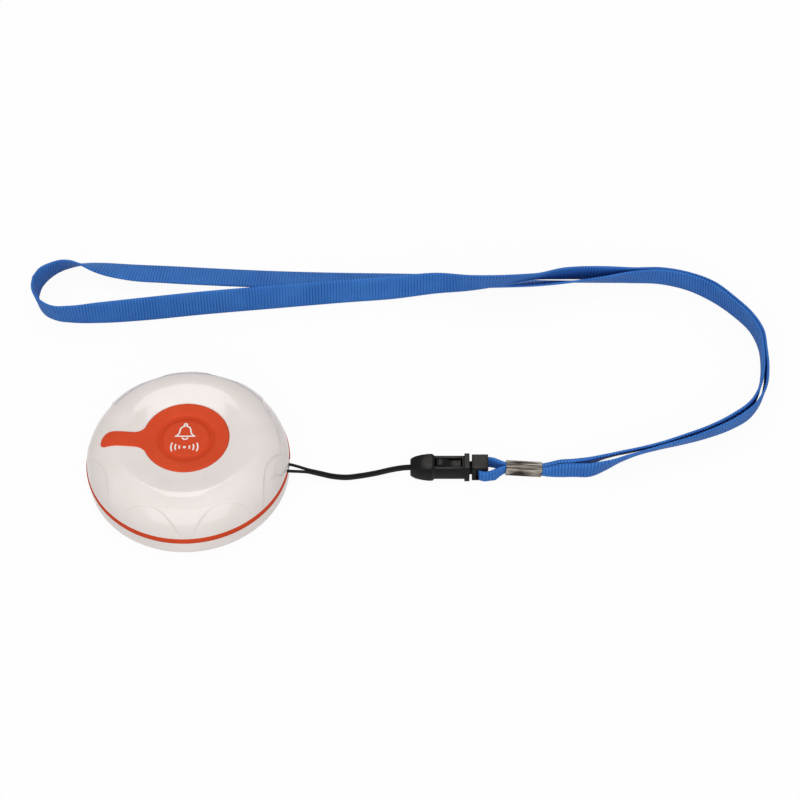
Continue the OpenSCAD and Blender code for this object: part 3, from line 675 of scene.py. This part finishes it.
def add_button_pad():
    """Silicone pad with its tail, rounded at the outer edge and more at the groove."""
    edge = 0.35
    pitch = 0.7
    clear = 0.4
    tail_root = 0.6
    lip_top = GROOVE_R + LIP_R
    outer = pad_outline(edge)
    count = len(outer)
    ring = circle(full_turn(ROUND_STEPS))
    xs = np.arange(-TAIL_REACH, PAD_R, pitch)
    ys = np.arange(-PAD_R, PAD_R, pitch)
    fill = np.stack(np.meshgrid(xs, ys), -1).reshape(-1, 2)
    r = np.hypot(fill[:, 0], fill[:, 1])
    keep = (r > lip_top + clear) & (r < PAD_R - edge - clear)
    tail = (fill[:, 0] < tail_root - PAD_R) & (fill[:, 0] > TAIL_W - TAIL_REACH)
    keep |= tail & (np.abs(fill[:, 1] - TAIL_Y) < TAIL_W / 2 - edge - clear)
    flat = np.r_[outer, lip_top * ring, fill[keep]]
    loops = [(i, (i + 1) % count) for i in range(count)]
    loops += [(count + i, count + (i + 1) % ROUND_STEPS) for i in range(ROUND_STEPS)]
    plan, _, triangles, _, _, _ = delaunay_2d_cdt([tuple(p) for p in flat], loops, [], 1, 1e-5)
    plan = np.array([tuple(p) for p in plan])
    middle = plan[np.array([t[:3] for t in triangles])].mean(1)
    groove = np.hypot(middle[:, 0], middle[:, 1]) < GROOVE_R + LIP_R * 0.99
    triangles = [list(t) for t, hole in zip(triangles, groove) if not hole]
    used = len(plan)
    far = np.hypot(plan[:, 0], plan[:, 1])
    points = [np.c_[plan, dome(far, PAD_PROUD)], np.c_[plan, dome(far, PAD_FLOOR)]]
    faces = triangles + [[v + used for v in reversed(t)] for t in triangles]
    total = 2 * used

    def wall(lines, first, last):
        """Joins the top to the underside through rings of points."""
        nonlocal total
        size = len(lines[0])
        rows = [list(range(first, first + size))]
        for line in lines:
            rows.append(list(range(total, total + size)))
            points.append(line)
            total += size
        rows.append(list(range(last, last + size)))
        for a, b in zip(rows, rows[1:]):
            for j in range(size):
                k = (j + 1) % size
                faces.append([a[j], a[k], b[k], b[j]])

    def lowered(line, drop, off):
        """A line of the plan at a drop below the top, or on the underside."""
        return np.c_[line, dome(np.hypot(line[:, 0], line[:, 1]), off) - drop]

    rim = [
        lowered(pad_outline(edge * (1 - math.sin(a))), edge * (1 - math.cos(a)), PAD_PROUD)
        for a in np.linspace(0, math.pi / 2, 6)[1:]
    ]
    wall(rim + [lowered(pad_outline(0), 0, PAD_FLOOR)], 0, used)
    lip = [
        lowered(ring * (GROOVE_R + LIP_R * (1 - t)), GROOVE_DEPTH * soft_step(0, 1, t), PAD_PROUD)
        for t in LIP_STEPS
    ]
    wall(lip + [lowered(ring * GROOVE_R, 0, PAD_FLOOR)], count, used + count)
    points = np.concatenate(points)
    pad = add_piece("button_pad_skin", points, faces, "pendant", "silicone_orange", sharp=50)
    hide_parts("button_pad")


def add_call_button():
    """Round push button with a rounded edge, dished like the pad."""
    core_r = 0.4
    flat_r = BUTTON_R - LIP_R
    top = dome(flat_r, PAD_PROUD)
    profile = [(r, dome(r, PAD_PROUD)) for r in np.linspace(core_r, flat_r, 12)]
    profile += [(flat_r + LIP_R * t, top - GROOVE_DEPTH * soft_step(0, 1, t)) for t in LIP_STEPS]
    profile += [(BUTTON_R, CAP_Z), (core_r, CAP_Z)]
    rings = revolve(profile, ROUND_STEPS)
    faces = ring_faces(len(rings), ROUND_STEPS) + end_faces(len(rings), ROUND_STEPS)
    button = add_piece("call_button_skin", rings, faces, "button", "silicone_orange", sharp=50)
    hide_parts("call_button")


def add_flex_web():
    """Web in the groove, hollowed a little and reaching deep below the groove's floor."""
    floor = float(dome(GROOVE_R, PAD_PROUD)) - GROOVE_DEPTH
    low = floor - WEB_DEEP
    hollow = 0.05
    across = np.linspace(0, 1, 9)
    radius = BUTTON_R + FIT + across * (GROOVE_R - BUTTON_R - 2 * FIT)
    top = floor - hollow * np.sin(math.pi * across)
    profile = [(r, low) for r in radius] + list(zip(radius[::-1], top[::-1]))
    rings = revolve(profile, ROUND_STEPS)
    faces = ring_faces(len(rings), ROUND_STEPS, closed=True)
    # Its silicone is a little darker than the pad's: painted shade in the groove
    web = add_piece("flex_web_skin", rings, faces, "pendant", "silicone_groove")
    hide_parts("flex_web")
    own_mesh(web)


def add_sign(name, lines, place):
    """A printed sign of even strokes on the button's top."""
    stroke = 0.22 * np.array([-1, -1, -0.6, 0.6, 1, 1])
    rise = np.array([-0.15, 0.02, 0.05, 0.05, 0.02, -0.15])
    columns = len(stroke)
    points = []
    faces = []
    for line in lines:
        p = np.asarray(line, float) + place
        closed = bool(np.allclose(p[0], p[-1]))
        if closed:
            p = p[:-1]
            ahead = unit_rows(np.roll(p, -1, axis=0) - p)
            behind = np.roll(ahead, 1, axis=0)
        else:
            ahead = unit_rows(np.diff(p, axis=0, append=2 * p[-1:] - p[-2:-1]))
            behind = np.r_[ahead[:1], ahead[:-1]]
        tangent = unit_rows(ahead + behind)
        corner = np.clip(np.sum(tangent * ahead, axis=1), 0.5, 1)[:, None]
        side = np.stack([-tangent[:, 1], tangent[:, 0]], -1) / corner
        flat = p[:, None, :] + side[:, None, :] * stroke[None, :, None]
        height = dome(np.hypot(flat[..., 0], flat[..., 1]), PAD_PROUD) + rise
        first = len(points)
        points += np.concatenate([flat, height[..., None]], -1).reshape(-1, 3).tolist()
        more = ring_faces(len(p), columns, closed)
        if not closed:
            more += end_faces(len(p), columns)
        faces += [[v + first for v in f] for f in more]
    add_piece(name, points, faces, "button", "shell_white", material=SIGN_WHITE)


def arc(x, y, r, start, end, count=24):
    """Points on an arc, by its angles in degrees."""
    return np.array([x, y]) + r * circle(np.radians(np.linspace(start, end, count)))


def add_signs():
    """A plain bell outline and, under it, a radio-wave mark."""
    flare = [[-1.55, 0.3, 0], [-1.75, -0.7, 0], [-2.15, -1.35, 0], [-2.75, -1.85, 0]]
    side = spline(flare, 0.15)[:, :2]
    crown = arc(0, 0.3, 1.55, 0, 180)
    body = np.r_[side[::-1], crown[::-1][1:-1], side * [-1, 1]]
    lip = np.linspace([2.75, -1.85], [-2.75, -1.85], 20)
    bell = [
        np.r_[body, lip[1:]],
        arc(0, 2.3, 0.42, 0, 360, 20),
        arc(0, -2.15, 0.85, 195, 345),
    ]
    add_sign("bell_sign", bell, (-0.3, 2.6))
    waves = [arc(0, 0, 0.22, 0, 360, 14)]
    for r in (1.5, 2.7, 3.9):
        waves += [arc(0, 0, r, -24, 24, 16), arc(0, 0, r, 156, 204, 16)]
    add_sign("wave_sign", waves, (-0.3, -3.3))


# Lanyard

def cord_path():
    """The cord from the buckle's nose round the pin in the pendant and back."""
    apart = CORD_D / 2 + FIT
    turn_r = (PIN_D + CORD_D) / 2 + 2 * FIT
    turn_z = 6.4
    leave_x = PIN[0] + 1.9
    leave_z = 6.1
    n = len(CORD_MID)
    spread_out = [apart + (turn_r - apart) * max(0, i - n + 2) / 2 for i in range(n)]
    out = [[x, y + s, z] for (x, y, z), s in zip(CORD_MID, spread_out)]
    back = [[x, y - s, z] for (x, y, z), s in zip(CORD_MID, spread_out)]
    bend = [
        [PIN[0] + turn_r * math.cos(a), PIN[1] + turn_r * math.sin(a), turn_z]
        for a in np.radians(np.arange(90, 271, 22.5))
    ]
    start = [[NOSE_X + 2.1, apart, AXIS_Z], [NOSE_X + 0.8, apart, AXIS_Z]]
    end = [[x, -y, z] for x, y, z in reversed(start)]
    one = [leave_x, PIN[1] + turn_r, leave_z]
    two = [leave_x, PIN[1] - turn_r, leave_z]
    return spline(start + out + [one] + bend + [two] + back[::-1] + end, CORD_STEP)


def add_cord():
    """Thin braided cord in two strands, with its knot in the buckle's nose."""
    path = cord_path()
    girth = np.linspace(0, math.pi * CORD_D, CORD_SIDES + 1)
    rings = sweep(path, CORD_D / 2, CORD_SIDES)
    faces = ring_faces(len(rings), CORD_SIDES) + end_faces(len(rings), CORD_SIDES)
    cord = add_piece("cord", rings, faces, "pendant", "cord_black")
    add_grid_uv(cord, np.arange(len(path)) * CORD_STEP, girth)
    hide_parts("cord_loop")
    knot_scale = 0.26
    knot_cord_r = 0.34
    knot_length = 12
    t = full_turn(120)
    knot_line = knot_scale * np.stack(
        [1.15 * np.sin(3 * t), np.sin(t) + 2 * np.sin(2 * t), np.cos(t) - 2 * np.cos(2 * t)], -1
    )
    rings = sweep(knot_line + [KNOT_X, 0, AXIS_Z], knot_cord_r, CORD_SIDES, closed=True)
    faces = ring_faces(len(rings), CORD_SIDES, closed=True)
    knot = add_piece("cord_knot_tied", rings, faces, "pendant", "cord_black")
    add_grid_uv(knot, np.linspace(0, knot_length, len(rings)), girth)
    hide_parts("cord_knot")


def band(name, middle, across, normal, wide, thick, body, gather):
    """A ribbed band: rings of a flat section with beaded edges, pleated where it is gathered."""
    rows = len(middle)
    valley_w = 0.17
    face_level = 0.35
    edge_level = 0.2
    phase = np.arange(rows) / RIB_RINGS % 1
    valley = np.exp(-(((phase - 0.5) / valley_w) ** 2))
    u = SECTION[:, 0]
    v = SECTION[:, 1]
    on_face = (np.abs(v) == 1) * v
    on_edge = (np.abs(u) == 1) * u
    rib = RIB_DEPTH * (face_level - valley)
    bead = BEAD * (edge_level - valley)
    pleat = gather[:, None] / 2 * np.cos(3 * math.pi * u)[None, :] * (np.abs(u) < 1)
    off = thick[:, None] / 2 * v[None, :] + rib[:, None] * on_face[None, :] + pleat
    reach = wide[:, None] / 2 * u[None, :] + bead[:, None] * on_edge[None, :]
    rings = middle[:, None, :] + across[:, None, :] * reach[..., None]
    rings += normal[:, None, :] * off[..., None]
    columns = len(SECTION)
    faces = ring_faces(rows, columns) + end_faces(rows, columns)
    obj = add_piece(name, rings, faces, body, "strap_blue", sharp=80)
    girth = length_along(SECTION * [STRAP_W / 2, STRAP_T / 2])
    girth = np.r_[girth, girth[-1] + STRAP_T]
    add_grid_uv(obj, np.arange(rows) * RIB_STEP, girth)
    return obj


def strap_leg(name, route):
    """One leg of the neck strap along its route."""
    points = [[x, y, 0, lift, roll, share] for x, y, lift, roll, share in route]
    rows = spline(points, RIB_STEP)
    lift = rows[:, 3]
    roll = np.radians(rows[:, 4])
    wide = np.minimum(rows[:, 5], 1) * STRAP_W
    thick = np.minimum(LEG_T, STRAP_T * STRAP_W / wide)
    tangent = unit_rows(np.gradient(rows[:, :3], axis=0))
    left = np.stack([-tangent[:, 1], tangent[:, 0], np.zeros(len(rows))], -1)
    up = np.array([0, 0, 1.0])
    across = np.cos(roll)[:, None] * left + np.sin(roll)[:, None] * up
    normal = -np.sin(roll)[:, None] * left + np.cos(roll)[:, None] * up
    middle = rows[:, :3].copy()
    middle[:, 2] = lift + np.abs(np.sin(roll)) * wide / 2 + np.abs(np.cos(roll)) * thick / 2
    pleat_depth = 0.35
    pleat_start = 6
    out = rows[:, 0] - CRIMP_X - CRIMP_L
    gather = pleat_depth * soft_step(0.95, 0.45, rows[:, 5]) * soft_step(0, pleat_start, out)
    return band(name, middle, across, normal, wide, thick, "plug", gather), middle


def add_strap():
    """Neck strap: one loop that starts and ends in the crimp."""
    slope = math.tan(CRIMP_PITCH)
    share = LEG_H / STRAP_W
    in_x = 99.3
    out_x = CRIMP_X + CRIMP_L
    mid_x = CRIMP_X + CRIMP_L / 2
    ends = [[x, CRIMP_Z - (x - mid_x) * slope - LEG_H / 2] for x in (in_x, out_x)]
    near = [[x, -LEG_Y, lift, 90, share] for x, lift in ends] + STRAP_NEAR + STRAP_FAR[:1]
    far = STRAP_FAR + [[x, LEG_Y, lift, 90, share] for x, lift in reversed(ends)]
    legs = [strap_leg("strap_near_leg", near), strap_leg("strap_far_leg", far)]
    for leg, middle in legs:
        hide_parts("neck_strap")


def add_anchor_loop():
    """Short loop of the same webbing from the plug's post into the crimp."""
    slot = SLOT_H - 0.4
    free = SLOT_H + 0.2
    mouth = LEG_H + 0.7
    route = [
        [99, LEG_Y, 2.5, LEG_H], [CRIMP_X - 0.2, LEG_Y, 3, LEG_H], [CRIMP_X - 1.6, 1.05, 3.05, mouth],
        [90.1, 1.75, 3.1, slot], [88.4, 2.05, 3.1, slot], [87, 1.97, 3.1, slot], [86.2, 1.5, 3.1, slot],
        [85.85, 0.8, 3.1, slot], [85.8, 0, 3.1, slot], [85.85, -0.9, 3.1, slot], [85.9, -1.8, 3.1, slot],
        [86, -2.5, 3.1, slot], [86.15, -3, 3.1, slot], [86.7, -3.3, 3.1, slot], [87.6, -3.35, 3.05, slot],
        [88.9, -3.1, 3, slot], [90.4, -2.4, 2.7, free], [CRIMP_X - 1.6, -1.35, 2.85, mouth],
        [CRIMP_X - 0.2, -LEG_Y, 3, LEG_H], [99, -LEG_Y, 2.5, LEG_H],
    ]
    rows = spline(route, RIB_STEP)
    tangent = np.gradient(rows[:, :3], axis=0)
    tangent[:, 2] = 0
    tangent = unit_rows(tangent)
    left = np.stack([-tangent[:, 1], tangent[:, 0], np.zeros(len(rows))], -1)
    across = np.tile([0, 0, 1.0], (len(rows), 1))
    pleat_depth = 0.1
    thick = np.full(len(rows), LOOP_T - 2 * FIT)
    gather = pleat_depth * soft_step(CRIMP_X, CRIMP_X - 2, rows[:, 0])
    loop = band("anchor_loop_band", rows[:, :3], across, -left, rows[:, 3], thick, "plug", gather)
    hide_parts("anchor_loop")


# Buckle, crimp and the nodes that stay as they are

def latch_root(point):
    """Draws the upper end of the latch arm's root back to the window's end."""
    near = soft_step(LATCH_X + 1.4, LATCH_X + 0.2, point.x / MM)
    high = soft_step(LATCH_Z + 0.6, LATCH_Z + 1.4, point.z / MM)
    return Vector((-LATCH_ROOT * MM * near * high, 0, 0))


def soften_node(node, body, slot, width, stretch=None):
    """A copy of a CAD node with its hard edges rounded."""
    weld = 0.002 * MM
    flat = math.radians(0.5)
    hard = math.radians(25)
    work = bmesh.new()
    work.from_mesh(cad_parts[node].data)
    bmesh.ops.remove_doubles(work, verts=work.verts, dist=weld)
    bmesh.ops.dissolve_limit(
        work, angle_limit=flat, verts=work.verts, edges=work.edges, use_dissolve_boundaries=False
    )
    edges = [e for e in work.edges if len(e.link_faces) == 2 and e.calc_face_angle(0) > hard]
    bmesh.ops.bevel(
        work, geom=edges, offset=width * MM, offset_type="OFFSET", segments=3, profile=0.5,
        affect="EDGES", clamp_overlap=True,
    )
    if stretch:
        for vertex in work.verts:
            vertex.co += stretch(vertex.co)
    mesh = bpy.data.meshes.new(node + "_soft")
    work.to_mesh(mesh)
    work.free()
    soft = show_mesh(mesh, body, slot, sharp=35)
    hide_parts(node)


# Materials of the nodes that stay as they are
NODE_SLOTS = {
    "lower_shell": "shell_white",
    "seal_band": "seal_orange",
    "housing_screws": "screw_steel",
    "button_plunger": "plunger_white",
    "circuit_board": "board_green",
    "push_switch": "chip_black",
    "switch_stem": "plunger_white",
    "radio_chip": "chip_black",
    "crystal_can": "cell_steel",
    "loop_antenna": "copper",
    "status_led": "lamp_clear",
    "light_pipe": "lamp_clear",
    "coin_cell": "cell_steel",
    "cell_clip": "spring_steel",
    "cell_contact": "spring_steel",
    "cord_pin": "screw_steel",
}


def dress_nodes():
    """Gives the nodes that stay their materials."""
    for node, slot in NODE_SLOTS.items():
        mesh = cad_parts[node].data
        mesh.materials.clear()
        mesh.materials.append(SLOTS[slot])


add_camera()
add_world()
add_lamp("top_box", (1.6, 1.6), 3.3, (0.06, 0, 1.4), 0)
add_lamp("strip_box", (0.24, 0.5), 1.1, (-0.09, 0.36, 1.0), -20)
add_lamp("front_box", (2.0, 1.2), 9.4, (0.06, -1.05, 0.65), 58)
add_floor()
dress_nodes()
add_upper_shell()
add_button_pad()
add_call_button()
add_flex_web()
add_signs()
add_cord()
add_strap()
add_anchor_loop()
soften_node("buckle_socket", "pendant", "buckle_black", 0.2)
soften_node("buckle_plug", "plug", "buckle_black", 0.15)
soften_node("latch_arm", "latch", "buckle_black", 0.12, latch_root)
soften_node("strap_crimp", "plug", "crimp_nickel", 0.1)
